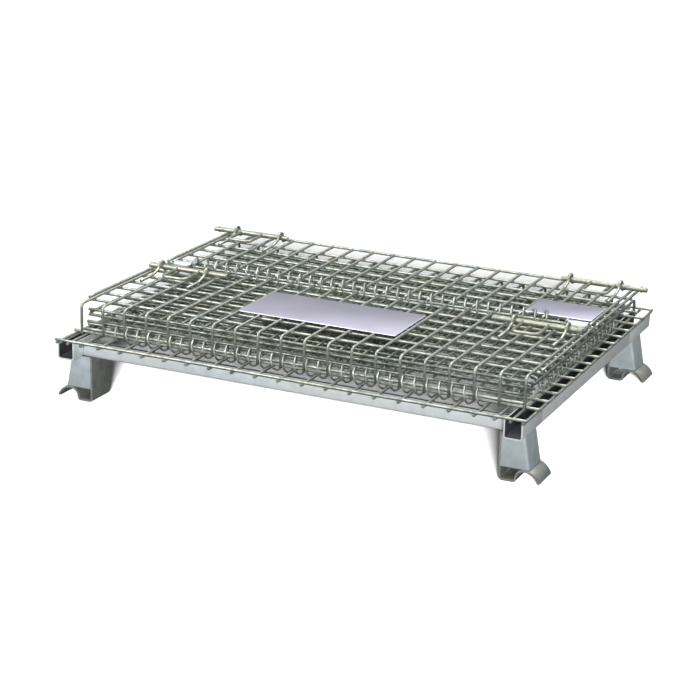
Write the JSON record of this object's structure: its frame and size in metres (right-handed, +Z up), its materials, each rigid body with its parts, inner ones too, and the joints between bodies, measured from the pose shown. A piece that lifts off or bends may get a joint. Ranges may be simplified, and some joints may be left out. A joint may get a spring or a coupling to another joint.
{
  "type": "folding wire mesh container",
  "caption": "Collapsible galvanised wire mesh container on saddle feet, folded flat, with coil hinges, a two-part gate and sliding bolt latches.",
  "frame": {"origin": "centre of the bounding box on the ground plane, under the four foot pads", "axes": "+X along the 1000 mm gate side from left to right, +Y from the gate side to the rear, +Z up"},
  "size_m": [1.0394, 0.8, 0.2225],
  "materials": {
    "mesh_wire": "electro-galvanised round wire with a faint olive passivation tint",
    "coil_wire": "galvanised spring wire, slightly duller than the mesh",
    "frame_sheet": "galvanised sheet, satin, light blue-grey",
    "foot_sheet": "galvanised sheet, satin, olive tint at the lips",
    "latch_rod": "galvanised round rod, slightly yellow",
    "label_plate": "satin, pale mauve grey, blank"
  },
  "bodies": {
    "base": {"deck_mesh": "mesh_wire", "foot_box_front_left": "foot_sheet", "foot_box_front_right": "foot_sheet", "foot_box_rear_left": "foot_sheet", "foot_box_rear_right": "foot_sheet", "foot_strip_front_left": "foot_sheet", "foot_strip_front_right": "foot_sheet", "foot_strip_rear_left": "foot_sheet", "foot_strip_rear_right": "foot_sheet", "front_beam": "frame_sheet", "front_hinge_coil": "coil_wire", "left_hinge_coil": "coil_wire", "left_hinge_sleeve": "frame_sheet", "left_panel": "mesh_wire", "middle_beam": "frame_sheet", "rear_beam": "frame_sheet", "rear_hinge_coil": "coil_wire", "rear_panel": "mesh_wire", "right_hinge_coil": "coil_wire", "right_hinge_sleeve": "frame_sheet", "right_panel": "mesh_wire", "side_channel_left": "frame_sheet", "side_channel_right": "frame_sheet"},
    "lower_gate": {"lower_gate": "mesh_wire", "large_label_plate": "label_plate", "mid_hinge_coil": "coil_wire", "latch_loop_lower_left_inner": "latch_rod", "latch_loop_lower_left_outer": "latch_rod", "latch_loop_lower_right_inner": "latch_rod", "latch_loop_lower_right_outer": "latch_rod"},
    "upper_gate": {"upper_gate": "mesh_wire", "small_label_plate": "label_plate", "mid_hinge_sleeve_left": "frame_sheet", "mid_hinge_sleeve_right": "frame_sheet", "latch_loop_upper_left_inner": "latch_rod", "latch_loop_upper_left_outer": "latch_rod", "latch_loop_upper_right_inner": "latch_rod", "latch_loop_upper_right_outer": "latch_rod"},
    "bolt_lower_left": {"latch_bolt_lower_left": "latch_rod"},
    "bolt_lower_right": {"latch_bolt_lower_right": "latch_rod"},
    "bolt_upper_left": {"latch_bolt_upper_left": "latch_rod"},
    "bolt_upper_right": {"latch_bolt_upper_right": "latch_rod"}
  },
  "joints": [
    {"name": "front_hinge", "type": "hinge", "parent": "base", "child": "lower_gate", "pos_m": [0, -0.336, 0.1416], "axis": [1, 0, 0], "range_deg": [0, 90]},
    {"name": "mid_hinge", "type": "hinge", "parent": "lower_gate", "child": "upper_gate", "pos_m": [0, 0.023, 0.198], "axis": [1, 0, 0], "range_deg": [0, 130]},
    {"name": "bolt_lower_left_slide", "type": "slide", "parent": "lower_gate", "child": "bolt_lower_left", "axis": [-1, 0, 0], "range_m": [-0.007, 0.028]},
    {"name": "bolt_lower_right_slide", "type": "slide", "parent": "lower_gate", "child": "bolt_lower_right", "axis": [1, 0, 0], "range_m": [-0.007, 0.028]},
    {"name": "bolt_upper_left_slide", "type": "slide", "parent": "upper_gate", "child": "bolt_upper_left", "axis": [-1, 0, 0], "range_m": [-0.035, 0]},
    {"name": "bolt_upper_right_slide", "type": "slide", "parent": "upper_gate", "child": "bolt_upper_right", "axis": [1, 0, 0], "range_m": [-0.035, 0]}
  ]
}
